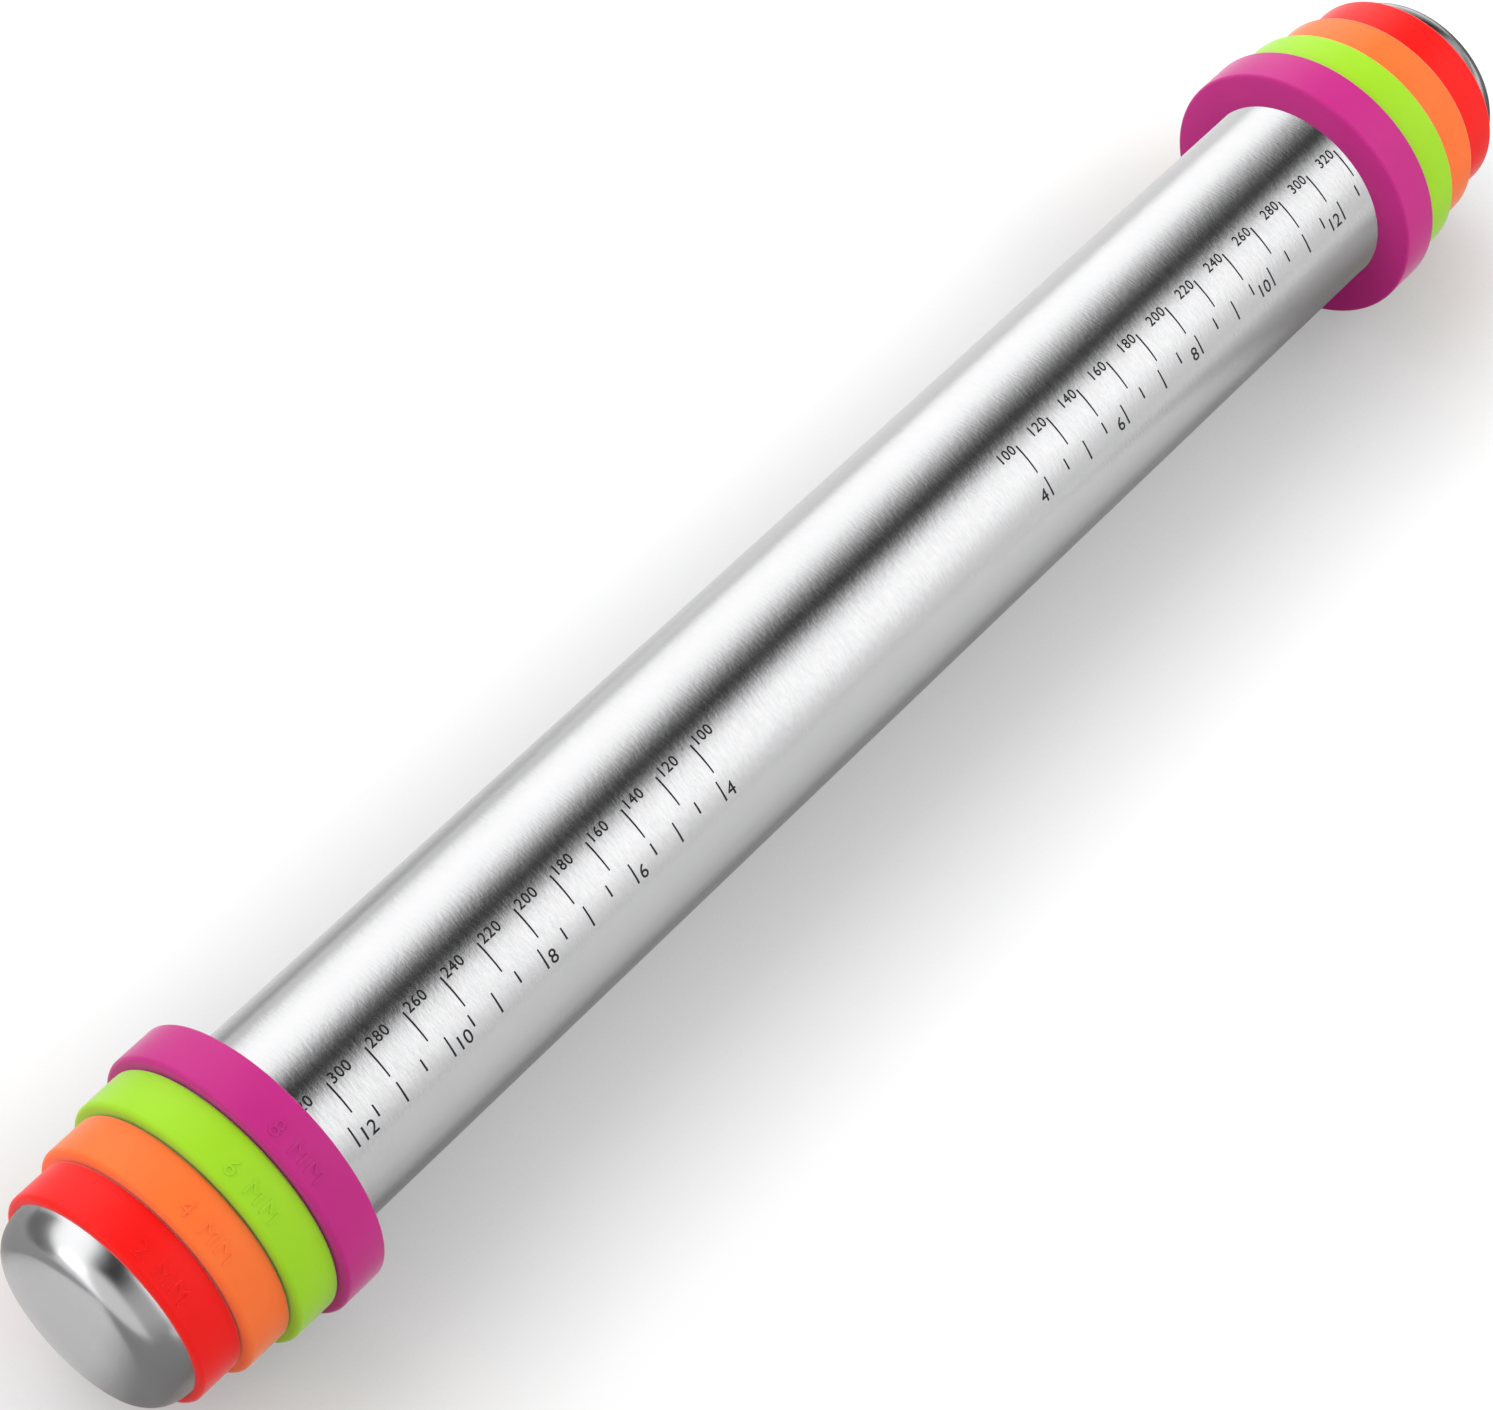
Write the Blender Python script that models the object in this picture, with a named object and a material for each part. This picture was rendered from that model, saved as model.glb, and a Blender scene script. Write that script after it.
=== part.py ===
"""Adjustable rolling pin: a hollow steel barrel with drawn end caps and slip-on thickness rings.

The pin lies along X with its middle at the origin, and +Z is up. Units are metres.
The rings sit at both ends of the barrel, the thickest one innermost. Each ring holds
the barrel off the table by its own thickness, so the dough is rolled to that thickness.
"""
import math

import bmesh
import bpy

# Driving dimensions of the barrel
overall_length = 0.419
barrel_diameter = 0.04445
tube_wall = 0.0010

# Driving dimensions of the drawn end caps
cap_wall = 0.0010
land_length = 0.0120
skirt_length = 0.0100
knuckle_depth = 0.0075
knuckle_height = 0.0062
crown_edge_angle = math.radians(12)
end_flat_radius = 0.0060

# Driving dimensions of the rings: thickness is what each adds to the barrel's radius
ring_width = 0.0100
ring_thickness = {
    "8mm": 0.0080,
    "6mm": 0.0060,
    "4mm": 0.0040,
    "2mm": 0.0020,
}
ring_edge_radius = 0.0015
ring_bore_chamfer = 0.0004
outer_ring_to_pin_end = 0.0083

# Clearances
seat_gap = 0.0003
slide_gap = 0.0003
ring_to_ring_gap = 0.0003

# Facets: the flats of every turned piece line up, with one flat straight down
facets_around = 48
knuckle_facets = 6
crown_facets = 3
edge_facets = 3
smooth_below = math.radians(35)
weld_distance = 1e-7
edge_radius_share = 0.75

# Worked out from the values above
barrel_radius = barrel_diameter / 2
half_length = overall_length / 2

# Colour, roughness and metallic value of each material
finishes = {
    "brushed_steel": ((0.56, 0.56, 0.57, 1.0), 0.32, 1.0),
    "polished_steel": ((0.58, 0.58, 0.59, 1.0), 0.24, 1.0),
    "silicone_8mm": ((0.53, 0.023, 0.26, 1.0), 0.50, 0.0),
    "silicone_6mm": ((0.35, 0.69, 0.018, 1.0), 0.50, 0.0),
    "silicone_4mm": ((1.0, 0.20, 0.048, 1.0), 0.50, 0.0),
    "silicone_2mm": ((0.94, 0.012, 0.008, 1.0), 0.50, 0.0),
}


def clear_scene():
    for old in list(bpy.data.objects):
        bpy.data.objects.remove(old, do_unlink=True)


def make_material(name):
    colour, roughness, metallic = finishes[name]
    material = bpy.data.materials.new(name)
    material.use_nodes = True
    shader = material.node_tree.nodes["Principled BSDF"]
    shader.inputs["Base Color"].default_value = colour
    shader.inputs["Roughness"].default_value = roughness
    shader.inputs["Metallic"].default_value = metallic
    material.diffuse_color = colour
    return material


def turned_mesh(name, profile, closed):
    """Spins a profile of (along the axis, radius) points about the X axis.

    A closed profile makes a ring. An open one starts and ends on a flat round face.
    """
    shape = bmesh.new()
    start = math.pi / facets_around
    corners = []
    for along, radius in profile:
        place = (along, radius * math.sin(start), -radius * math.cos(start))
        corners.append(shape.verts.new(place))
    for first, second in zip(corners, corners[1:]):
        shape.edges.new((first, second))
    if closed:
        shape.edges.new((corners[-1], corners[0]))
    bmesh.ops.spin(
        shape,
        geom=shape.verts[:] + shape.edges[:],
        cent=(0, 0, 0),
        axis=(1, 0, 0),
        angle=2 * math.pi,
        steps=facets_around,
        use_merge=True,
    )
    bmesh.ops.remove_doubles(shape, verts=shape.verts[:], dist=weld_distance)
    if not closed:
        rims = [edge for edge in shape.edges if edge.is_boundary]
        bmesh.ops.holes_fill(shape, edges=rims, sides=facets_around)
    bmesh.ops.recalc_face_normals(shape, faces=shape.faces[:])
    mesh = bpy.data.meshes.new(name)
    shape.to_mesh(mesh)
    shape.free()
    mesh.shade_smooth()
    mesh.set_sharp_from_angle(angle=smooth_below)
    return mesh


def place_piece(name, mesh, parent, along=0.0, turned_round=False):
    piece = bpy.data.objects.new(name, mesh)
    bpy.context.collection.objects.link(piece)
    piece.parent = parent
    piece.location = (along, 0, 0)
    if turned_round:
        piece.rotation_euler = (0, 0, math.pi)
    return piece


def offset_inward(profile, distance):
    """Moves an outline of (along, radius) points sideways by one sheet thickness.

    Each new corner is where the two moved sides meet, as in sheet bent at one thickness.
    """
    sides = []
    for (along_a, radius_a), (along_b, radius_b) in zip(profile, profile[1:]):
        run = along_b - along_a
        rise = radius_b - radius_a
        length = math.hypot(run, rise)
        sides.append((rise / length, -run / length))
    normals = [sides[0]]
    for before, after in zip(sides, sides[1:]):
        reach = 1 + before[0] * after[0] + before[1] * after[1]
        normals.append(((before[0] + after[0]) / reach, (before[1] + after[1]) / reach))
    normals.append(sides[-1])
    moved = []
    for (along, radius), (out_along, out_radius) in zip(profile, normals):
        moved.append((along + distance * out_along, radius + distance * out_radius))
    return moved


def cap_outline():
    """Outside of the right-hand cap, from the skirt's free rim to the flat on the end.

    The end is dished like a drawn vessel head: a shallow crown that runs without a
    crease into a tighter knuckle, then a straight land as wide as the barrel. Behind
    the land the sheet steps in to a skirt that the tube slips over.
    """
    skirt_radius = barrel_radius - tube_wall - seat_gap
    knuckle_start_angle = math.atan(math.tan(crown_edge_angle) * knuckle_height / knuckle_depth)
    knuckle_centre_radius = barrel_radius - knuckle_height
    crown_radius = knuckle_centre_radius + knuckle_height * math.sin(knuckle_start_angle)
    crown_reach = crown_radius - end_flat_radius
    crown_height = math.tan(crown_edge_angle) * crown_reach / 2
    knuckle_start = half_length - crown_height - knuckle_depth * math.cos(knuckle_start_angle)
    shoulder = knuckle_start - land_length

    outline = [
        (shoulder - skirt_length, skirt_radius),
        (shoulder, skirt_radius),
        (shoulder, barrel_radius),
    ]
    turn = math.pi / 2 - knuckle_start_angle
    for step in range(knuckle_facets + 1):
        angle = math.pi / 2 - turn * step / knuckle_facets
        along = knuckle_start + knuckle_depth * math.cos(angle)
        outline.append((along, knuckle_centre_radius + knuckle_height * math.sin(angle)))
    for step in range(1, crown_facets + 1):
        left = 1 - step / crown_facets
        outline.append((half_length - crown_height * left ** 2, end_flat_radius + crown_reach * left))
    return outline, shoulder


def tube_outline(shoulder):
    """Plain tube whose ends stop just short of the shoulders of the caps."""
    end = shoulder - seat_gap
    bore = barrel_radius - tube_wall
    return [(-end, bore), (end, bore), (end, barrel_radius), (-end, barrel_radius)]


def ring_outline(thickness):
    """Section of one ring, centred on its own width, with rounded outer edges."""
    bore = barrel_radius + slide_gap
    outside = barrel_radius + thickness
    wall = outside - bore
    edge = min(ring_edge_radius, wall * edge_radius_share, ring_width * edge_radius_share / 2)
    chamfer = min(ring_bore_chamfer, (wall - edge) * edge_radius_share)
    side = ring_width / 2
    outline = [(-side, bore + chamfer), (-side + chamfer, bore)]
    outline += [(side - chamfer, bore), (side, bore + chamfer)]
    for step in range(edge_facets + 1):
        angle = math.pi / 2 * step / edge_facets
        along = side - edge + edge * math.cos(angle)
        outline.append((along, outside - edge + edge * math.sin(angle)))
    for step in range(edge_facets + 1):
        angle = math.pi / 2 * (1 + step / edge_facets)
        along = edge - side + edge * math.cos(angle)
        outline.append((along, outside - edge + edge * math.sin(angle)))
    return outline


def build_barrel(frame, steel, polished):
    outline, shoulder = cap_outline()
    inside = offset_inward(outline, cap_wall)
    cap_mesh = turned_mesh("end_cap", outline[::-1] + inside, closed=False)
    cap_mesh.materials.append(polished)
    tube_mesh = turned_mesh("barrel_tube", tube_outline(shoulder), closed=True)
    tube_mesh.materials.append(steel)
    tube = place_piece("barrel_tube", tube_mesh, frame)
    place_piece("end_cap_right", cap_mesh, tube)
    place_piece("end_cap_left", cap_mesh, tube, turned_round=True)
    return tube


def build_rings(tube):
    """Threads the rings on both ends, each one carried by the next thicker ring inboard."""
    pitch = ring_width + ring_to_ring_gap
    outermost = half_length - outer_ring_to_pin_end - ring_width / 2
    innermost = outermost - pitch * (len(ring_thickness) - 1)
    meshes = {}
    for size, thickness in ring_thickness.items():
        meshes[size] = turned_mesh("ring_" + size, ring_outline(thickness), closed=True)
        meshes[size].materials.append(make_material("silicone_" + size))
    for side, turned_round in (("left", True), ("right", False)):
        carrier = tube
        along = -innermost if turned_round else innermost
        for size, mesh in meshes.items():
            at_barrel = carrier is tube
            name = f"ring_{size}_{side}"
            carrier = place_piece(name, mesh, carrier, along, turned_round and at_barrel)
            along = pitch


def main():
    clear_scene()
    frame = bpy.data.objects.new("rolling_pin_frame", None)
    bpy.context.collection.objects.link(frame)
    tube = build_barrel(frame, make_material("brushed_steel"), make_material("polished_steel"))
    build_rings(tube)


main()
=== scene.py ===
"""Looks of the adjustable rolling pin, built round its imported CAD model.

The pin lies along X with its middle at the origin, and +Z is up. Units are metres.
Left is the near end in the photograph's view, at -X, and right is the far end.
"""
import math

import bmesh
import bpy
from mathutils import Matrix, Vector


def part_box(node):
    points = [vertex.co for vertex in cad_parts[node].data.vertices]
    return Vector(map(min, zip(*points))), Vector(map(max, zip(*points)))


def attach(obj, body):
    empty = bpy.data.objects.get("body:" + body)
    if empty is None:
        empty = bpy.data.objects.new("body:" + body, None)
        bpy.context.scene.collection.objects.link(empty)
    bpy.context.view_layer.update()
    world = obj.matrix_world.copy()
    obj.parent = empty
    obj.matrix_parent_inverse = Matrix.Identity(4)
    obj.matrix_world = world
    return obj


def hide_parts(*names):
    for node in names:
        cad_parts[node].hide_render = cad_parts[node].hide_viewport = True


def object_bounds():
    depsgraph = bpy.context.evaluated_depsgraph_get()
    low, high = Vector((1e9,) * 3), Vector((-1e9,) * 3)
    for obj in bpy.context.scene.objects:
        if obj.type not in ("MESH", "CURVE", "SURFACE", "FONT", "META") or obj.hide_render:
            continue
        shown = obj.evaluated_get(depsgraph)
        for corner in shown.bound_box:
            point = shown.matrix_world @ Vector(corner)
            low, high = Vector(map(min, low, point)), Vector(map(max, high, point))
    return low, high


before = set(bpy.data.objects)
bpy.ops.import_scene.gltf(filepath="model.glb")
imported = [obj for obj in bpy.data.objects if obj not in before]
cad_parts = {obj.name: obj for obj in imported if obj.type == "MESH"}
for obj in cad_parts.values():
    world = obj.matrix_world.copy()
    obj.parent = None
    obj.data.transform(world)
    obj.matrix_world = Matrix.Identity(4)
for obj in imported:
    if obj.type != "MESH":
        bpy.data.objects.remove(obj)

cad_low, cad_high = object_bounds()
millimetre = 0.001

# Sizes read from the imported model
tube_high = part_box("barrel_tube")[1]
barrel_radius = tube_high.z
half_length = cad_high.x
ring_sizes = ("8mm", "6mm", "4mm", "2mm")
sides = {"left": -1, "right": 1}

# Sizes of the drawn steel, the same as in the CAD source
wall = 1.0 * millimetre
weld_gap = 0.3 * millimetre
skirt_length = 10.0 * millimetre
knuckle_depth = 7.5 * millimetre
knuckle_height = 6.2 * millimetre
crown_edge_slope = math.tan(math.radians(12))
end_flat_radius = 6.0 * millimetre

# Roundness of what is turned
sides_round = 192
knuckle_steps = 16
crown_steps = 10
smooth_below = math.radians(30)

# How near two places count as one, and how square to an axis a face's normal has to be
weld_distance = 0.0005 * millimetre
same_place = 0.001 * millimetre
rim_tolerance = 0.02 * millimetre
nearly_square = 0.9


def hex_colour(code):
    """Turns an sRGB hex colour into the linear colour that a shader takes."""
    channels = []
    for start in (1, 3, 5):
        value = int(code[start:start + 2], 16) / 255
        if value <= 0.04045:
            channels.append(value / 12.92)
        else:
            channels.append(((value + 0.055) / 1.055) ** 2.4)
    return (*channels, 1.0)


def add_node(tree, kind, settings, inputs):
    """Adds one node. An input is a plain value or another node's output."""
    made = tree.nodes.new(kind)
    for name, value in settings.items():
        setattr(made, name, value)
    for name, value in inputs.items():
        if isinstance(value, bpy.types.NodeSocket):
            tree.links.new(value, made.inputs[name])
        else:
            made.inputs[name].default_value = value
    return made


def new_material(name):
    material = bpy.data.materials.new(name)
    material.use_nodes = True
    material.node_tree.nodes.clear()
    return material, material.node_tree


# Materials

def brushed_stainless_steel():
    """Stainless tube, centreless ground and brushed round and round.

    The eye gets long soft bands along the pin with ragged edges, made of short
    scratches that run round it. Real scratches are about 0.1 mm apart. They are
    drawn 0.6 mm apart and up to 2 mm long, so that they show in the render.
    """
    scratch_spacing = 0.6 * millimetre
    scratch_length = 2.0 * millimetre
    scratch_relief = 0.12 * millimetre
    cloud_width = 9 * millimetre
    cloud_length = 14 * millimetre
    material, tree = new_material("brushed_stainless_steel")
    place = add_node(tree, "ShaderNodeTexCoord", {}, {})
    scratch_place = add_node(tree, "ShaderNodeMapping", {}, {
        "Vector": place.outputs["Object"],
        "Scale": (1 / scratch_spacing, 1 / scratch_length, 1 / scratch_length),
    })
    scratches = add_node(tree, "ShaderNodeTexNoise", {}, {
        "Vector": scratch_place.outputs["Vector"],
        "Scale": 1.0, "Detail": 4.0, "Roughness": 0.6,
    })
    round_the_pin = add_node(
        tree, "ShaderNodeTangent", {"direction_type": "RADIAL", "axis": "X"}, {})
    cloud_place = add_node(tree, "ShaderNodeMapping", {}, {
        "Vector": place.outputs["Object"],
        "Scale": (1 / cloud_width, 1 / cloud_length, 1 / cloud_length),
    })
    clouds = add_node(tree, "ShaderNodeTexNoise", {}, {
        "Vector": cloud_place.outputs["Vector"],
        "Scale": 1.0, "Detail": 3.0, "Roughness": 0.5,
    })
    roughness = add_node(tree, "ShaderNodeMapRange", {}, {
        "Value": scratches.outputs["Fac"],
        "From Min": 0.3, "From Max": 0.7, "To Min": 0.20, "To Max": 0.27,
    })
    tint = add_node(tree, "ShaderNodeMix", {"data_type": "RGBA"}, {
        "Factor": clouds.outputs["Fac"],
        6: hex_colour("#B6B6B7"), 7: hex_colour("#BABABB"),
    })
    relief = add_node(tree, "ShaderNodeBump", {}, {
        "Height": scratches.outputs["Fac"],
        "Strength": 0.4, "Distance": scratch_relief,
    })
    shader = add_node(tree, "ShaderNodeBsdfPrincipled", {}, {
        "Base Color": tint.outputs[2],
        "Metallic": 1.0,
        "Roughness": roughness.outputs["Result"],
        "Anisotropic": 0.8,
        "Anisotropic Rotation": 0.25,
        "Tangent": round_the_pin.outputs["Tangent"],
        "Normal": relief.outputs["Normal"],
    })
    add_node(tree, "ShaderNodeOutputMaterial", {}, {"Surface": shader.outputs["BSDF"]})
    return material


def satin_drawn_steel():
    """Stainless sheet drawn to a dished end and satin polished.

    The eye gets soft rounded reflections without a grain direction. Real polishing
    marks are under 0.1 mm apart. They are drawn 0.4 mm apart, so that they show.
    """
    haze_size = 3 * millimetre
    grit_size = 0.4 * millimetre
    grit_relief = 0.02 * millimetre
    material, tree = new_material("satin_drawn_stainless_steel")
    place = add_node(tree, "ShaderNodeTexCoord", {}, {})
    haze = add_node(tree, "ShaderNodeTexNoise", {}, {
        "Vector": place.outputs["Object"],
        "Scale": 1 / haze_size, "Detail": 4.0, "Roughness": 0.6,
    })
    grit = add_node(tree, "ShaderNodeTexNoise", {}, {
        "Vector": place.outputs["Object"],
        "Scale": 1 / grit_size, "Detail": 3.0, "Roughness": 0.6,
    })
    roughness = add_node(tree, "ShaderNodeMapRange", {}, {
        "Value": haze.outputs["Fac"],
        "From Min": 0.3, "From Max": 0.7, "To Min": 0.20, "To Max": 0.25,
    })
    relief = add_node(tree, "ShaderNodeBump", {}, {
        "Height": grit.outputs["Fac"],
        "Strength": 0.03, "Distance": grit_relief,
    })
    shader = add_node(tree, "ShaderNodeBsdfPrincipled", {}, {
        "Base Color": hex_colour("#B8B8B9"),
        "Metallic": 1.0,
        "Roughness": roughness.outputs["Result"],
        "Normal": relief.outputs["Normal"],
    })
    add_node(tree, "ShaderNodeOutputMaterial", {}, {"Surface": shader.outputs["BSDF"]})
    return material


def moulded_silicone(colour_name, colour, lighter):
    """Silicone rubber, compression moulded and left matt.

    The eye gets a strong even colour, a broad pale sheen and soft edges. The fine
    grain that a mould leaves is about 0.1 mm. It is drawn at 0.5 mm, so that it shows.
    """
    cloud_size = 8 * millimetre
    skin_grain = 0.5 * millimetre
    skin_relief = 0.03 * millimetre
    material, tree = new_material("moulded_silicone_" + colour_name)
    place = add_node(tree, "ShaderNodeTexCoord", {}, {})
    cloud = add_node(tree, "ShaderNodeTexNoise", {}, {
        "Vector": place.outputs["Object"],
        "Scale": 1 / cloud_size, "Detail": 2.0, "Roughness": 0.5,
    })
    skin = add_node(tree, "ShaderNodeTexNoise", {}, {
        "Vector": place.outputs["Object"],
        "Scale": 1 / skin_grain, "Detail": 3.0, "Roughness": 0.6,
    })
    tint = add_node(tree, "ShaderNodeMix", {"data_type": "RGBA"}, {
        "Factor": cloud.outputs["Fac"],
        6: hex_colour(colour), 7: hex_colour(lighter),
    })
    roughness = add_node(tree, "ShaderNodeMapRange", {}, {
        "Value": skin.outputs["Fac"],
        "From Min": 0.3, "From Max": 0.7, "To Min": 0.44, "To Max": 0.54,
    })
    relief = add_node(tree, "ShaderNodeBump", {}, {
        "Height": skin.outputs["Fac"],
        "Strength": 0.25, "Distance": skin_relief,
    })
    shader = add_node(tree, "ShaderNodeBsdfPrincipled", {}, {
        "Base Color": tint.outputs[2],
        "Roughness": roughness.outputs["Result"],
        "IOR": 1.41,
        "Specular IOR Level": 0.25,
        "Sheen Weight": 0.5,
        "Sheen Roughness": 0.3,
        "Normal": relief.outputs["Normal"],
    })
    add_node(tree, "ShaderNodeOutputMaterial", {}, {"Surface": shader.outputs["BSDF"]})
    return material


def laser_oxide():
    """The black oxide that a marking laser leaves in steel: matt, nearly black.

    The beam's own lines are about 0.05 mm apart. Their unevenness is drawn at 0.3 mm,
    so that it can show.
    """
    burn_size = 0.3 * millimetre
    material, tree = new_material("laser_oxide_black")
    place = add_node(tree, "ShaderNodeTexCoord", {}, {})
    burn = add_node(tree, "ShaderNodeTexNoise", {}, {
        "Vector": place.outputs["Object"],
        "Scale": 1 / burn_size, "Detail": 2.0, "Roughness": 0.5,
    })
    tint = add_node(tree, "ShaderNodeMix", {"data_type": "RGBA"}, {
        "Factor": burn.outputs["Fac"],
        6: hex_colour("#0E0E0F"), 7: hex_colour("#1C1C1D"),
    })
    shader = add_node(tree, "ShaderNodeBsdfPrincipled", {}, {
        "Base Color": tint.outputs[2],
        "Roughness": 0.6,
        "Specular IOR Level": 0.3,
    })
    add_node(tree, "ShaderNodeOutputMaterial", {}, {"Surface": shader.outputs["BSDF"]})
    return material


# Working with the tools as by hand

def clear_selection():
    if bpy.context.object and bpy.context.object.mode != "OBJECT":
        bpy.ops.object.mode_set(mode="OBJECT")
    bpy.ops.object.select_all(action="DESELECT")


def name_it(name):
    """Names the piece just added, and applies its place to its mesh."""
    piece = bpy.context.object
    piece.name = name
    piece.data.name = name
    bpy.ops.object.transform_apply(location=True, rotation=True, scale=True)
    return piece


def work_on(piece, part, wanted):
    """Goes into edit mode with only the wanted faces or edges selected."""
    bpy.ops.object.mode_set(mode="EDIT")
    bpy.ops.mesh.select_mode(type={"faces": "FACE", "edges": "EDGE"}[part])
    bpy.ops.mesh.select_all(action="DESELECT")
    shape = bmesh.from_edit_mesh(piece.data)
    for element in getattr(shape, part):
        if wanted(element):
            element.select_set(True)
    bmesh.update_edit_mesh(piece.data)


def stop_work(piece):
    """Turns all faces outwards, leaves edit mode and smooths the round surfaces."""
    bpy.ops.mesh.select_all(action="SELECT")
    bpy.ops.mesh.remove_doubles(threshold=weld_distance)
    bpy.ops.mesh.normals_make_consistent(inside=False)
    bpy.ops.object.mode_set(mode="OBJECT")
    bpy.ops.object.shade_smooth_by_angle(angle=smooth_below)
    piece.select_set(False)


def is_end_face(face):
    """True for a flat face that looks along the pin."""
    return abs(face.normal.x) > nearly_square


def is_rim(edge, radius, along=None):
    """True for an edge that runs round the pin at that radius, and at that place along it."""
    for vertex in edge.verts:
        if abs(math.hypot(vertex.co.y, vertex.co.z) - radius) > rim_tolerance:
            return False
        if along is not None and abs(vertex.co.x - along) > rim_tolerance:
            return False
    first, second = (vertex.co.x for vertex in edge.verts)
    return abs(first - second) < same_place


# The steel

def turn_barrel():
    """The tube: cut square at both ends, where the dished ends are welded on."""
    clear_selection()
    tube_end = tube_high.x + weld_gap
    bpy.ops.mesh.primitive_cylinder_add(
        vertices=sides_round, radius=barrel_radius, depth=2 * tube_end,
        end_fill_type="NGON", rotation=(0, math.pi / 2, 0))
    barrel = name_it("brushed_barrel")
    work_on(barrel, "faces", is_end_face)
    bpy.ops.mesh.inset(thickness=wall, depth=0)
    bpy.ops.mesh.bridge_edge_loops()
    stop_work(barrel)
    return barrel


def dished_outline():
    """Outside of a right-hand end from the skirt's rim, as (along, radius) points."""
    start_angle = math.atan(crown_edge_slope * knuckle_height / knuckle_depth)
    centre_radius = barrel_radius - knuckle_height
    crown_radius = centre_radius + knuckle_height * math.sin(start_angle)
    crown_reach = crown_radius - end_flat_radius
    crown_height = crown_edge_slope * crown_reach / 2
    knuckle_start = half_length - crown_height - knuckle_depth * math.cos(start_angle)
    shoulder = tube_high.x + weld_gap
    skirt_radius = barrel_radius - wall - weld_gap
    outline = [
        (shoulder - skirt_length, skirt_radius),
        (shoulder, skirt_radius),
        (shoulder, barrel_radius),
    ]
    for step in range(knuckle_steps + 1):
        angle = math.pi / 2 - (math.pi / 2 - start_angle) * step / knuckle_steps
        outline.append((knuckle_start + knuckle_depth * math.cos(angle),
                        centre_radius + knuckle_height * math.sin(angle)))
    for step in range(1, crown_steps + 1):
        left = 1 - step / crown_steps
        outline.append((half_length - crown_height * left ** 2,
                        end_flat_radius + crown_reach * left))
    return outline


def draw_end(side):
    """A dished end, pulled from a round blank in steps and closed with its flat middle."""
    clear_selection()
    outline = dished_outline()
    along, radius = outline[0]
    direction = sides[side]
    bpy.ops.mesh.primitive_circle_add(
        vertices=sides_round, radius=radius, fill_type="NOTHING",
        location=(direction * along, 0, 0), rotation=(0, math.pi / 2, 0))
    end = name_it("dished_end_" + side)
    bpy.ops.object.mode_set(mode="EDIT")
    bpy.ops.mesh.select_mode(type="EDGE")
    bpy.ops.mesh.select_all(action="SELECT")
    for next_along, next_radius in outline[1:]:
        bpy.ops.mesh.extrude_edges_move(
            TRANSFORM_OT_translate={"value": (direction * (next_along - along), 0, 0)})
        grow = next_radius / radius
        bpy.ops.transform.resize(
            value=(1, grow, grow), center_override=(direction * next_along, 0, 0))
        along, radius = next_along, next_radius
    bpy.ops.mesh.edge_face_add()
    stop_work(end)
    sheet = end.modifiers.new("sheet", "SOLIDIFY")
    sheet.thickness = wall
    sheet.offset = -1
    sheet.use_even_offset = True
    bpy.ops.object.modifier_apply(modifier=sheet.name)
    bpy.ops.object.shade_smooth_by_angle(angle=smooth_below)
    return end


# The rings. They sit closer to the barrel than the CAD's clearance, as stretched silicone does.
outboard_edge = 1.0 * millimetre
inboard_edge = 0.7 * millimetre
most_edge_share = 0.7
edge_steps = 8
bore_edge = 0.2 * millimetre
bore_edge_steps = 3
bore_clearance = 0.1 * millimetre


def mould_ring(size, side):
    """A thickness ring: flat sides, a plain bore and rounded outer edges."""
    clear_selection()
    low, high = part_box(f"ring_{size}_{side}")
    outside = high.z
    bore = barrel_radius + bore_clearance
    bpy.ops.mesh.primitive_cylinder_add(
        vertices=sides_round, radius=outside, depth=high.x - low.x, end_fill_type="NGON",
        location=((low.x + high.x) / 2, 0, 0), rotation=(0, math.pi / 2, 0))
    ring = name_it(f"silicone_ring_{size}_{side}")
    thickness = outside - bore
    work_on(ring, "faces", is_end_face)
    bpy.ops.mesh.inset(thickness=thickness, depth=0)
    bpy.ops.mesh.bridge_edge_loops()
    inboard, outboard = (high.x, low.x) if side == "left" else (low.x, high.x)
    for along, edge in ((inboard, inboard_edge), (outboard, outboard_edge)):
        work_on(ring, "edges", lambda found: is_rim(found, outside, along))
        rounding = min(edge, most_edge_share * thickness)
        bpy.ops.mesh.bevel(offset=rounding, segments=edge_steps, profile=0.5)
    work_on(ring, "edges", lambda found: is_rim(found, bore))
    bpy.ops.mesh.bevel(offset=bore_edge, segments=bore_edge_steps, profile=0.5)
    stop_work(ring)
    return ring


# The laser-marked scale. Its own middle is 1 mm to the left of the pin's.
scale_middle = -1.0 * millimetre
mark_proud = 0.02 * millimetre
mark_depth = 0.10 * millimetre
mm_tick_angles = (23.8, 41.8)
inch_tick_top_angle = 45.8
inch_tick_end_angles = {"whole": 57.3, "half": 52.5}
right_side_turn = 1.4
inch = 25.4 * millimetre

# Each line's width at its top and at its end
mm_tick_widths = (0.42 * millimetre, 0.32 * millimetre)
inch_tick_widths = (0.34 * millimetre, 0.46 * millimetre)

# Each kind of number: its height, the spacing of its digits and how much a bevel thickens it
mm_digits = (2.3 * millimetre, 1.1, 0.012)
inch_digits = (2.9 * millimetre, 1.0, 0.006)
mm_number_off_line = 0.75 * millimetre
inch_number_off_line = 1.1 * millimetre
inch_number_down_line = 0.7

# Text is drawn one unit thick, and then scaled to the depth of a mark. The flat drawing
# is cut in strips before it is rolled onto the barrel.
half_unit = 0.5
curve_steps = 3
scale_strip = 0.4 * millimetre


def arc(degrees):
    """Distance round the barrel from the top for an angle, as the flat drawing's height."""
    return -math.radians(degrees) * barrel_radius


def roll_on(piece, radius):
    """Rolls a flat drawing onto the barrel: its y is the distance round from the top."""
    for vertex in piece.data.vertices:
        along, round_it, proud = vertex.co
        angle = -round_it / radius
        reach = radius + proud
        vertex.co = (along, -reach * math.sin(angle), reach * math.cos(angle))


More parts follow.
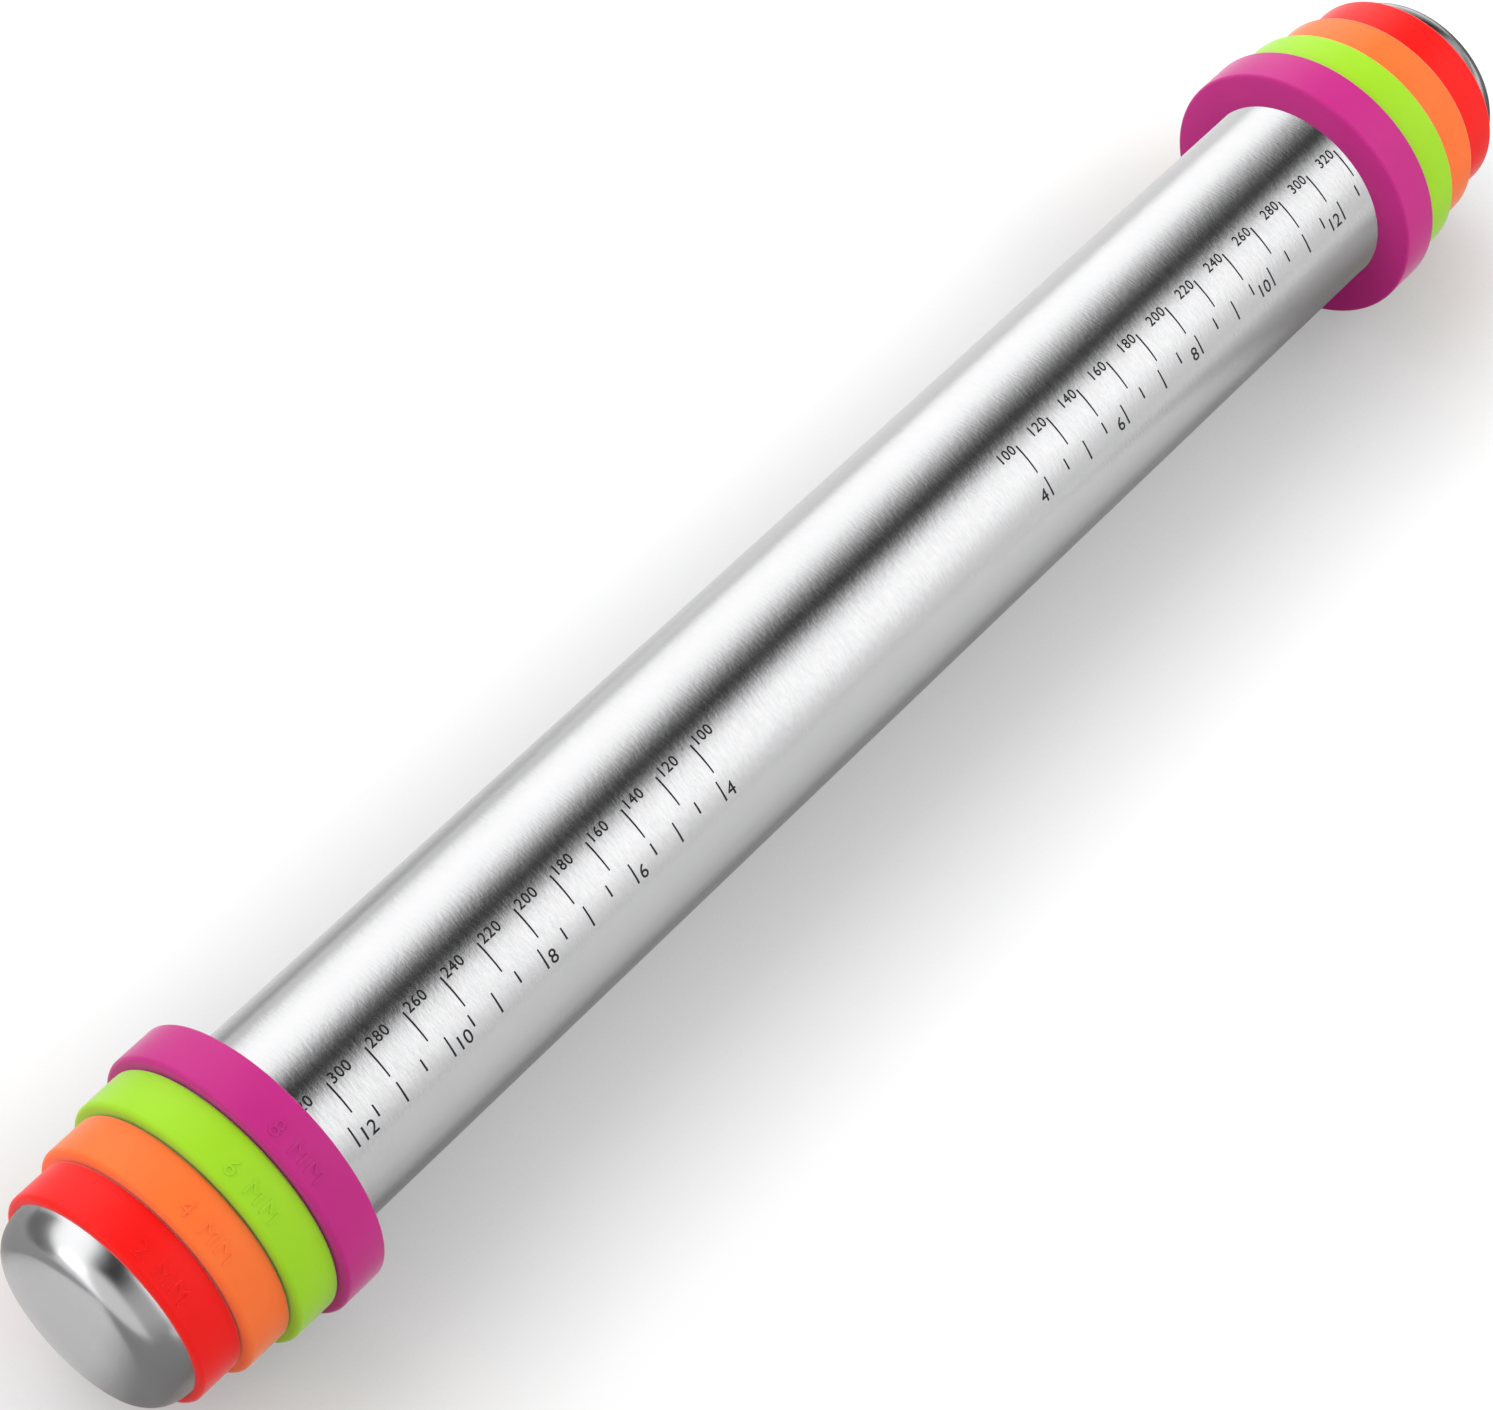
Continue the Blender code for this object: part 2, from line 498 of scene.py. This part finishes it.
def cut_in_strips(piece, pitch, across):
    """Cuts a flat drawing into narrow strips, so that it can follow the round."""
    placed = [vertex.co.dot(across) for vertex in piece.data.vertices]
    bpy.ops.object.mode_set(mode="EDIT")
    for step in range(1, math.ceil((max(placed) - min(placed)) / pitch)):
        bpy.ops.mesh.select_all(action="SELECT")
        bpy.ops.mesh.bisect(plane_co=across * (min(placed) + step * pitch), plane_no=across)
    bpy.ops.object.mode_set(mode="OBJECT")


def join_pieces(pieces, name):
    clear_selection()
    for piece in pieces:
        piece.select_set(True)
    bpy.context.view_layer.objects.active = pieces[0]
    bpy.ops.object.join()
    joined = bpy.context.object
    joined.name = name
    joined.data.name = name
    return joined


def tick(along, top_angle, end_angle, top_width, end_width):
    """One line of the scale, drawn flat, a little wider at one end as the laser left it."""
    clear_selection()
    top, end = arc(top_angle), arc(end_angle)
    depth = mark_proud + mark_depth
    bpy.ops.mesh.primitive_cube_add(
        size=1, location=(along, (top + end) / 2, mark_proud - depth / 2),
        scale=(top_width, top - end, depth))
    line = name_it("tick")
    work_on(line, "faces", lambda face: face.normal.y < -nearly_square)
    bpy.ops.transform.resize(
        value=(end_width / top_width, 1, 1), center_override=(along, end, 0))
    bpy.ops.object.mode_set(mode="OBJECT")
    return line


def number(text, along, round_it, anchor, height, spacing, thicken_share):
    """A number of the scale, drawn flat, its middle height at round_it.

    A bevel thickens its strokes and leaves the holes in the digits open.
    """
    clear_selection()
    bpy.ops.object.text_add()
    words = bpy.context.object
    words.data.body = text
    words.data.align_x = anchor
    words.data.align_y = "CENTER"
    words.data.space_character = spacing
    words.data.bevel_depth = thicken_share
    words.data.bevel_resolution = 0
    words.data.extrude = half_unit - thicken_share
    words.data.resolution_u = curve_steps
    bpy.ops.object.convert(target="MESH")
    drawn = bpy.context.object
    lowest = min(vertex.co.y for vertex in drawn.data.vertices)
    highest = max(vertex.co.y for vertex in drawn.data.vertices)
    grow = height / (highest - lowest)
    middle = (lowest + highest) / 2
    drawn.scale = (grow, grow, mark_proud + mark_depth)
    drawn.location = (along, round_it - middle * grow, (mark_proud - mark_depth) / 2)
    bpy.ops.object.transform_apply(location=True, rotation=True, scale=True)
    return drawn


def mark_scale():
    """The scale reads the width of the dough: a line at 100 is 50 mm from the middle."""
    lines, numbers = [], []
    for side, direction in sides.items():
        turn = right_side_turn if side == "right" else 0.0
        anchor = "LEFT" if side == "left" else "RIGHT"
        top, end = (angle + turn for angle in mm_tick_angles)
        for width in range(100, 321, 20):
            along = scale_middle + direction * width / 2 * millimetre
            lines.append(tick(along, top, end, *mm_tick_widths))
            beside = along - direction * mm_number_off_line
            numbers.append(number(str(width), beside, arc(top), anchor, *mm_digits))
        for quarters in range(8, 26):
            along = scale_middle + direction * quarters / 4 * inch
            kind = "half" if quarters % 2 else "whole"
            top, end = inch_tick_top_angle + turn, inch_tick_end_angles[kind] + turn
            lines.append(tick(along, top, end, *inch_tick_widths))
            if quarters % 4 == 0:
                beside = along - direction * inch_number_off_line
                level = arc(top + inch_number_down_line * (end - top))
                numbers.append(number(str(quarters // 2), beside, level, anchor, *inch_digits))
    made = []
    for pieces, name in ((lines, "laser_scale_lines"), (numbers, "laser_scale_numbers")):
        drawing = join_pieces(pieces, name)
        cut_in_strips(drawing, scale_strip, Vector((0, 1, 0)))
        roll_on(drawing, barrel_radius)
        made.append(drawing)
    return made


# The size moulded on each ring in raised letters. They read round the ring.
letters_proud = 0.18 * millimetre
letters_depth = 0.3 * millimetre
letters_height = 3.5 * millimetre
letters_outboard = 1.2 * millimetre
letters_spacing = 1.25
letters_angle = {"left": 35, "right": 215}
letters_strip = 0.5 * millimetre
capital_share = 0.7  # a capital's height in the font, as a share of its size


def mould_letters(size, side):
    """Raised size on a ring, its tops toward the middle of the pin on both sides."""
    clear_selection()
    low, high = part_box(f"ring_{size}_{side}")
    inboard = -sides[side]
    bpy.ops.object.text_add()
    words = bpy.context.object
    words.data.body = size[0] + " MM"
    words.data.align_x = "CENTER"
    words.data.space_character = letters_spacing
    words.data.extrude = half_unit
    words.data.resolution_u = curve_steps
    bpy.ops.object.convert(target="MESH")
    grow = letters_height / capital_share
    bpy.context.object.scale = (grow, grow, letters_proud + letters_depth)
    drawn = name_it(f"raised_size_{size}_{side}")
    cut_in_strips(drawn, letters_strip, Vector((1, 0, 0)))
    half_depth = (letters_proud + letters_depth) / 2
    middle = (low.x + high.x) / 2 - inboard * letters_outboard
    start = math.radians(letters_angle[side])
    for vertex in drawn.data.vertices:
        across, up, proud = vertex.co
        angle = start + inboard * across / high.z
        reach = high.z + letters_proud - half_depth + proud
        along = middle + inboard * (up - letters_height / 2)
        vertex.co = (along, -reach * math.sin(angle), reach * math.cos(angle))
    return drawn


# Build

steel = brushed_stainless_steel()
satin = satin_drawn_steel()
oxide = laser_oxide()
silicone = {
    "8mm": moulded_silicone("magenta", "#BE257F", "#C42A85"),
    "6mm": moulded_silicone("green", "#9CD61E", "#A4DC2A"),
    "4mm": moulded_silicone("orange", "#FF722F", "#FF7A38"),
    "2mm": moulded_silicone("red", "#F20C08", "#F6120C"),
}

barrel = turn_barrel()
barrel.data.materials.append(steel)
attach(barrel, "barrel")
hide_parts("barrel_tube")

for side in sides:
    end = draw_end(side)
    end.data.materials.append(satin)
    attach(end, "barrel")
    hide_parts("end_cap_" + side)
    for size in ring_sizes:
        ring = mould_ring(size, side)
        ring.data.materials.append(silicone[size])
        ring.visible_glossy = False  # the photograph's steel shows no colour of the rings
        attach(ring, f"{side}_{size}_ring")
        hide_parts(f"ring_{size}_{side}")
        letters = mould_letters(size, side)
        letters.data.materials.append(silicone[size])
        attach(letters, f"{side}_{size}_ring")

for marks in mark_scale():
    marks.data.materials.append(oxide)
    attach(marks, "barrel")


# Studio

# The table: its size, how much it glows to whoever sees it, and the painted shade that darkens
# the paper's colour near the pin, by how far it reaches and which way it leans
table_radius = 3.0
table_sides = 96
table_glow = 0.36
table_shade_reach = 50 * millimetre
table_shade_lean = (0, -0.6, 0.8)


def lay_floor():
    """A white table top under the pin, which keeps its soft shadow."""
    clear_selection()
    bpy.ops.mesh.primitive_circle_add(
        vertices=table_sides, radius=table_radius, fill_type="NGON",
        location=(0, 0, cad_low.z))
    floor = name_it("white_table_top")
    material, tree = new_material("white_paper")
    path = add_node(tree, "ShaderNodeLightPath", {}, {})
    seen = add_node(tree, "ShaderNodeMath", {"operation": "MAXIMUM"}, {
        0: path.outputs["Is Camera Ray"], 1: path.outputs["Is Glossy Ray"]})
    seen_at_all = add_node(tree, "ShaderNodeMath", {"operation": "MAXIMUM"}, {
        0: seen.outputs[0], 1: path.outputs["Is Transmission Ray"]})
    glow_strength = add_node(tree, "ShaderNodeMath", {"operation": "MULTIPLY"}, {
        0: seen_at_all.outputs[0], 1: table_glow})
    # Painted shade: the paper's colour darkens near the pin, leaning toward the camera's side, on
    # top of the real shadow
    paper_darkened_by_painted_shade = add_node(tree, "ShaderNodeAmbientOcclusion", {"samples": 8}, {
        "Color": hex_colour("#CFCFCF"),
        "Distance": table_shade_reach,
        "Normal": table_shade_lean,
    })
    paper = add_node(tree, "ShaderNodeBsdfDiffuse", {}, {"Color": paper_darkened_by_painted_shade.outputs["Color"]})
    glow = add_node(tree, "ShaderNodeEmission", {}, {
        "Color": (1, 1, 1, 1), "Strength": glow_strength.outputs[0]})
    both = add_node(tree, "ShaderNodeAddShader", {}, {0: paper.outputs[0], 1: glow.outputs[0]})
    add_node(tree, "ShaderNodeOutputMaterial", {}, {"Surface": both.outputs[0]})
    floor.data.materials.append(material)


def set_grey_card(name, low, high, soft_edge, colour):
    """A soft-edged grey card between two corners, lying or upright, seen only in reflections.

    It is painted shade in reflections: a grey sheet that darkens what the steel mirrors,
    standing for the table where the pin's shadow falls and for greyer parts of the room. The
    camera doesn't see it, and it casts no shadow and sends no diffuse light, so that the
    table stays plain and white. The silicone's faint gloss mirrors it too.
    """
    clear_selection()
    upright = low[1] == high[1]
    across = 2 if upright else 1
    bpy.ops.mesh.primitive_plane_add(size=1)
    bpy.ops.transform.resize(value=(high[0] - low[0], high[across] - low[across], 1))
    if upright:
        bpy.ops.transform.rotate(value=math.pi / 2, orient_axis="X")
    bpy.ops.transform.translate(value=(Vector(low) + Vector(high)) / 2)
    card = name_it(name)
    material, tree = new_material(name)
    place = add_node(tree, "ShaderNodeTexCoord", {}, {})
    split = add_node(tree, "ShaderNodeSeparateXYZ", {}, {0: place.outputs["Object"]})
    cover = 1.0
    edges = (
        (0, low[0], soft_edge[0]), (0, high[0], -soft_edge[1]),
        (across, low[across], soft_edge[2]), (across, high[across], -soft_edge[3]),
    )
    for axis, edge, inward in edges:
        fade = add_node(tree, "ShaderNodeMapRange", {"interpolation_type": "SMOOTHSTEP"}, {
            "Value": split.outputs[axis],
            "From Min": edge, "From Max": edge + inward, "To Min": 0.0, "To Max": 1.0,
        })
        product = add_node(tree, "ShaderNodeMath", {"operation": "MULTIPLY"}, {
            0: fade.outputs["Result"], 1: cover})
        cover = product.outputs[0]
    # Painted shade: this grey, seen only in reflections, darkens what the steel mirrors
    paper = add_node(tree, "ShaderNodeBsdfDiffuse", {}, {"Color": hex_colour(colour)})
    clear = add_node(tree, "ShaderNodeBsdfTransparent", {}, {})
    both = add_node(tree, "ShaderNodeMixShader", {}, {
        0: cover, 1: clear.outputs[0], 2: paper.outputs[0]})
    add_node(tree, "ShaderNodeOutputMaterial", {}, {"Surface": both.outputs[0]})
    card.data.materials.append(material)
    card.visible_camera = False
    card.visible_diffuse = False
    card.visible_shadow = False


# Each card of painted shade on the table, seen only in reflections: its corners, the widths of
# its soft edges at low X, high X, low Y and high Y, and its colour
painted_shade_cards = {
    "painted_shade_card_before_near_end":
        ((-0.90, -3.00), (-0.140, 0.010), (0.018, 0.030, 0.018, 0.018), "#9A9A9A"),
    "painted_shade_card_behind_near_end":
        ((-1.50, 0.036), (-0.155, 3.00), (0.018, 0.018, 0.018, 0.018), "#A8A8A8"),
    "painted_shade_card_under_barrel":
        ((-0.21, -0.040), (0.26, 0.005), (0.014, 0.014, 0.014, 0.014), "#C4C4C4"),
    "painted_shade_card_before_far_end":
        ((0.13, -0.220), (0.40, -0.005), (0.030, 0.030, 0.190, 0.020), "#B0B0B0"),
    "painted_shade_card_beyond_far_end":
        ((0.205, -0.080), (1.20, 0.080), (0.015, 0.300, 0.030, 0.030), "#5E5E5E"),
    "painted_shade_card_behind_barrel":
        ((-1.50, 0.0), (0.08, 2.50), (0.120, 0.120, 0.250, 0.250), "#B3B3B3"),
}
card_layer = 0.2 * millimetre

# The upright card of painted shade, seen only in reflections: its low and high corners, the
# widths of its soft edges at low X, high X, low Z and high Z, and its colour
upright_painted_shade_card = ((-0.80, 0.45, -0.03), (-0.07, 0.45, 0.32), (0.05, 0.05, 0.01, 0.14), "#8C8C8C")


# The light tent, seen from the pin: how bright it is at each angle round the pin, in
# degrees from overhead toward the camera's side. One bright wall hangs behind the pin
# and one in front, and the gap between them, over the pin, is what makes its dark band.
tent = (
    (-180, 1.05), (-96, 1.05), (-91, 1.40), (-84, 1.90), (-72, 2.08), (-57, 2.08), (-45, 2.02),
    (-38, 1.95), (-32, 1.68), (-26, 1.18), (-20, 0.70), (-13, 0.33), (-6, 0.10), (2, 0.02),
    (7, 0.06), (12, 0.30), (17, 0.80), (23, 1.50), (30, 2.08), (39, 2.28), (57, 2.28),
    (65, 2.05), (72, 1.70), (80, 1.38), (90, 1.13), (98, 1.05), (180, 1.05),
)
brightest = 2.3
back_gives_way_to_front = (-10.0, 10.0)

# The walls lean. Their angles shift by this many degrees for each unit of slope along the
# pin, from the slope where the tent is square on to half a unit either side. The back wall
# leans more, which ends over a range of angles.
square_on = 0.585
skew = 25.0
back_skew = 35.0
back_skew_ends = (-45.0, 5.0)

# Where the walls start and stop, as slopes along the pin, and how bright it is elsewhere
back_wall_stops = (1.1, 1.6)
front_wall_starts = (0.12, 0.37)
front_wall_stops = (0.95, 1.3)
end_wall_stops = (-0.9, -0.4)
beyond_walls = 0.3
end_wall = 1.1


def hang_softbox(name, place, aim, size, radiance):
    """A square soft box. Its power gives the radiance that the pin sees it at."""
    lamp = bpy.data.lights.new(name, "AREA")
    lamp.shape = "SQUARE"
    lamp.size = size
    lamp.energy = math.pi * size ** 2 * radiance
    held = bpy.data.objects.new(name, lamp)
    bpy.context.scene.collection.objects.link(held)
    held.location = place
    held.rotation_euler = (Vector(aim) - Vector(place)).to_track_quat("-Z", "Y").to_euler()
    held.visible_camera = False
    return held


def light_the_studio():
    """A white light tent. Its walls aren't quite parallel to the pin."""
    world = bpy.data.worlds.new("light_tent")
    bpy.context.scene.world = world
    world.use_nodes = True
    tree = world.node_tree
    tree.nodes.clear()
    direction = add_node(tree, "ShaderNodeTexCoord", {}, {})
    split = add_node(tree, "ShaderNodeSeparateXYZ", {}, {0: direction.outputs["Generated"]})
    toward_front = add_node(tree, "ShaderNodeMath", {"operation": "MULTIPLY"}, {
        0: split.outputs["Y"], 1: -1.0})
    round_it = add_node(tree, "ShaderNodeMath", {"operation": "ARCTAN2"}, {
        0: toward_front.outputs[0], 1: split.outputs["Z"]})
    degrees = add_node(tree, "ShaderNodeMath", {"operation": "DEGREES"}, {0: round_it.outputs[0]})
    lean = add_node(tree, "ShaderNodeMath", {"operation": "ARCSINE"}, {0: split.outputs["X"]})
    slope = add_node(tree, "ShaderNodeMath", {"operation": "TANGENT"}, {0: lean.outputs[0]})
    off_square = add_node(tree, "ShaderNodeMapRange", {}, {
        "Value": slope.outputs[0],
        "From Min": square_on - 0.5, "From Max": square_on + 0.5,
        "To Min": -0.5, "To Max": 0.5,
    })
    turn = add_node(tree, "ShaderNodeMapRange", {"interpolation_type": "SMOOTHSTEP"}, {
        "Value": degrees.outputs[0],
        "From Min": back_skew_ends[0], "From Max": back_skew_ends[1],
        "To Min": skew + back_skew, "To Max": skew,
    })
    turned = add_node(tree, "ShaderNodeMath", {"operation": "MULTIPLY_ADD"}, {
        0: off_square.outputs["Result"], 1: turn.outputs["Result"], 2: degrees.outputs[0]})
    along_tent = add_node(tree, "ShaderNodeMapRange", {}, {
        "Value": turned.outputs[0],
        "From Min": -180.0, "From Max": 180.0, "To Min": 0.0, "To Max": 1.0,
    })
    ramp = add_node(tree, "ShaderNodeValToRGB", {}, {"Fac": along_tent.outputs["Result"]})
    stops = ramp.color_ramp.elements
    for number_of_stop, (angle, radiance) in enumerate(tent):
        place = (angle + 180) / 360
        stop = stops[0] if number_of_stop == 0 else stops.new(place)
        stop.position = place
        share = radiance / brightest
        stop.color = (share, share, share, 1)
    stops.remove(stops[-1])
    back_reach = add_node(tree, "ShaderNodeMapRange", {"interpolation_type": "SMOOTHSTEP"}, {
        "Value": slope.outputs[0],
        "From Min": back_wall_stops[0], "From Max": back_wall_stops[1],
        "To Min": brightest, "To Max": brightest * beyond_walls,
    })
    front_start = add_node(tree, "ShaderNodeMapRange", {"interpolation_type": "SMOOTHSTEP"}, {
        "Value": slope.outputs[0],
        "From Min": front_wall_starts[0], "From Max": front_wall_starts[1],
        "To Min": beyond_walls, "To Max": 1.0,
    })
    front_reach = add_node(tree, "ShaderNodeMapRange", {"interpolation_type": "SMOOTHSTEP"}, {
        "Value": slope.outputs[0],
        "From Min": front_wall_stops[0], "From Max": front_wall_stops[1],
        "To Min": brightest, "To Max": brightest * beyond_walls,
    })
    front_both = add_node(tree, "ShaderNodeMath", {"operation": "MULTIPLY"}, {
        0: front_start.outputs["Result"], 1: front_reach.outputs["Result"]})
    front_side = add_node(tree, "ShaderNodeMapRange", {"interpolation_type": "SMOOTHSTEP"}, {
        "Value": degrees.outputs[0],
        "From Min": back_gives_way_to_front[0], "From Max": back_gives_way_to_front[1],
        "To Min": 0.0, "To Max": 1.0,
    })
    reach = add_node(tree, "ShaderNodeMix", {"data_type": "FLOAT"}, {
        "Factor": front_side.outputs["Result"],
        2: back_reach.outputs["Result"], 3: front_both.outputs[0]})
    walls = add_node(tree, "ShaderNodeMath", {"operation": "MULTIPLY"}, {
        0: ramp.outputs["Color"], 1: reach.outputs[0]})
    end = add_node(tree, "ShaderNodeMapRange", {"interpolation_type": "SMOOTHSTEP"}, {
        "Value": slope.outputs[0],
        "From Min": end_wall_stops[0], "From Max": end_wall_stops[1],
        "To Min": end_wall, "To Max": 0.0,
    })
    strength = add_node(tree, "ShaderNodeMath", {"operation": "MAXIMUM"}, {
        0: walls.outputs[0], 1: end.outputs["Result"]})
    room = add_node(tree, "ShaderNodeBackground", {}, {
        "Color": (1, 1, 1, 1), "Strength": strength.outputs[0]})
    add_node(tree, "ShaderNodeOutputWorld", {}, {"Surface": room.outputs[0]})


# The camera: its place and direction, its lens and sensor in millimetres, and its reach
camera_place = (-0.44305, -0.34986, 0.67375)
camera_looks = (0.483246, 0.403129, -0.777149)
camera_lens = 106.618
camera_sensor = 36
camera_nearest = 0.05
camera_farthest = 20


def set_camera():
    """The photograph's view: from above the near end, looking along the pin."""
    camera = bpy.data.cameras.new("photo_view")
    camera.sensor_width = camera_sensor
    camera.lens = camera_lens
    camera.clip_start = camera_nearest
    camera.clip_end = camera_farthest
    held = bpy.data.objects.new("photo_view", camera)
    bpy.context.scene.collection.objects.link(held)
    held.location = camera_place
    held.rotation_euler = Vector(camera_looks).to_track_quat("-Z", "Y").to_euler()
    bpy.context.scene.camera = held


lay_floor()
# Cards of painted shade, seen only in reflections, each a little above the last
for layer, (name, (low, high, soft_edge, colour)) in enumerate(painted_shade_cards.items(), 1):
    level = cad_low.z + layer * card_layer
    set_grey_card(name, (*low, level), (*high, level), soft_edge, colour)
set_grey_card("painted_shade_card_upright_behind_near_end", *upright_painted_shade_card)
light_the_studio()

# Each soft box: its place, what it aims at, its size and its radiance
near_end = (-0.2, 0, 0)
far_end = (0.18, 0, 0)
beyond_near_end = hang_softbox("softbox_beyond_near_end", (-0.97, 0.42, 0.50), near_end, 0.4, 1.6)
behind_far_end = hang_softbox("softbox_behind_far_end", (0.72, 0.45, 0.26), far_end, 0.4, 1.7)
before_far_end = hang_softbox("softbox_before_far_end", (0.50, -0.33, 0.45), far_end, 0.3, 3.6)

# The first makes the highlight in the near end's rim and gives no diffuse light. The other
# two light the rings and the table, most at the far end, and nothing mirrors them.
beyond_near_end.visible_diffuse = False
behind_far_end.visible_glossy = False
before_far_end.visible_glossy = False
set_camera()
bpy.context.scene.view_settings.view_transform = "Standard"
